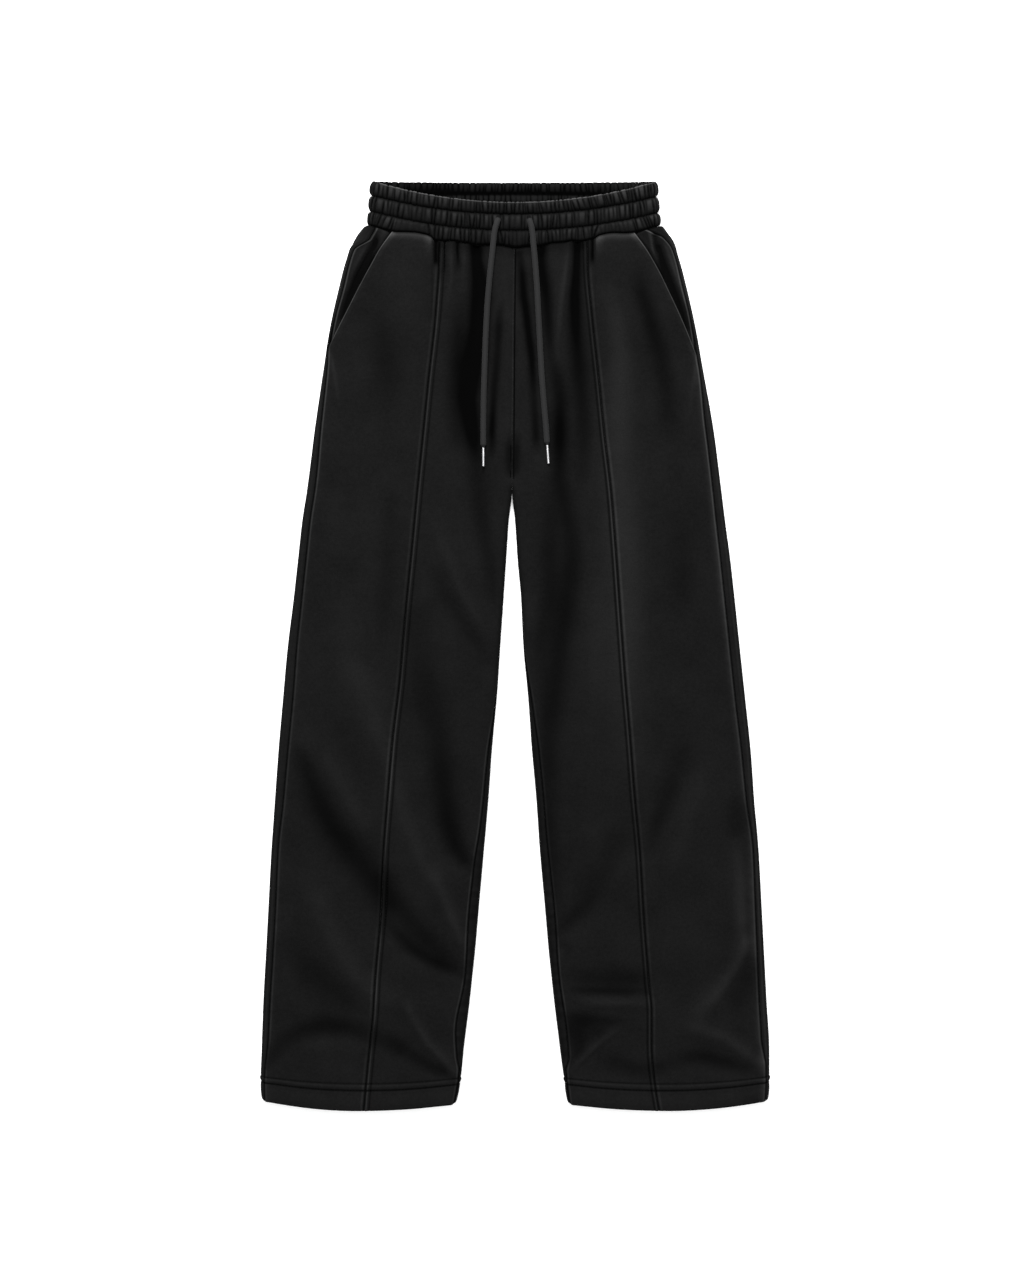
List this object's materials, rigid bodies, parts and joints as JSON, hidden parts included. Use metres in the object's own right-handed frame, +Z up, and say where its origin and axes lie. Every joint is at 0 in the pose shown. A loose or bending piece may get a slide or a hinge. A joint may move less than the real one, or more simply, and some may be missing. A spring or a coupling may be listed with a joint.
{
  "type": "wide-leg sweatpants",
  "caption": "Wide-leg fleece sweatpants laid flat, with a gathered elastic waistband, a drawcord with free ends, slant pockets and a long seam down each front",
  "frame": {"origin": "under the middle of the garment, on the surface that it lies on", "axes": "+X to the wearer's left, +Y along the legs to the waist, +Z up, out of the front"},
  "size_m": [0.5738, 1.048, 0.0259],
  "materials": {
    "fleece": "black brushed fleece jersey, matt, with a faint soft sheen",
    "waistband_fleece": "the same black fleece, gathered over elastic in three channels",
    "drawcord": "charcoal grey braided cotton, matt",
    "cord_tip": "dull grey pressed metal"
  },
  "bodies": {
    "root": {"waistband": "waistband_fleece", "front_outer_right": "fleece", "front_outer_left": "fleece", "front_inner_right": "fleece", "front_inner_left": "fleece", "back_right": "fleece", "back_left": "fleece", "pocket_facing_right": "fleece", "pocket_facing_left": "fleece", "drawcord_right": "drawcord", "drawcord_left": "drawcord", "cord_tip_right": "cord_tip", "cord_tip_left": "cord_tip"}
  },
  "joints": []
}
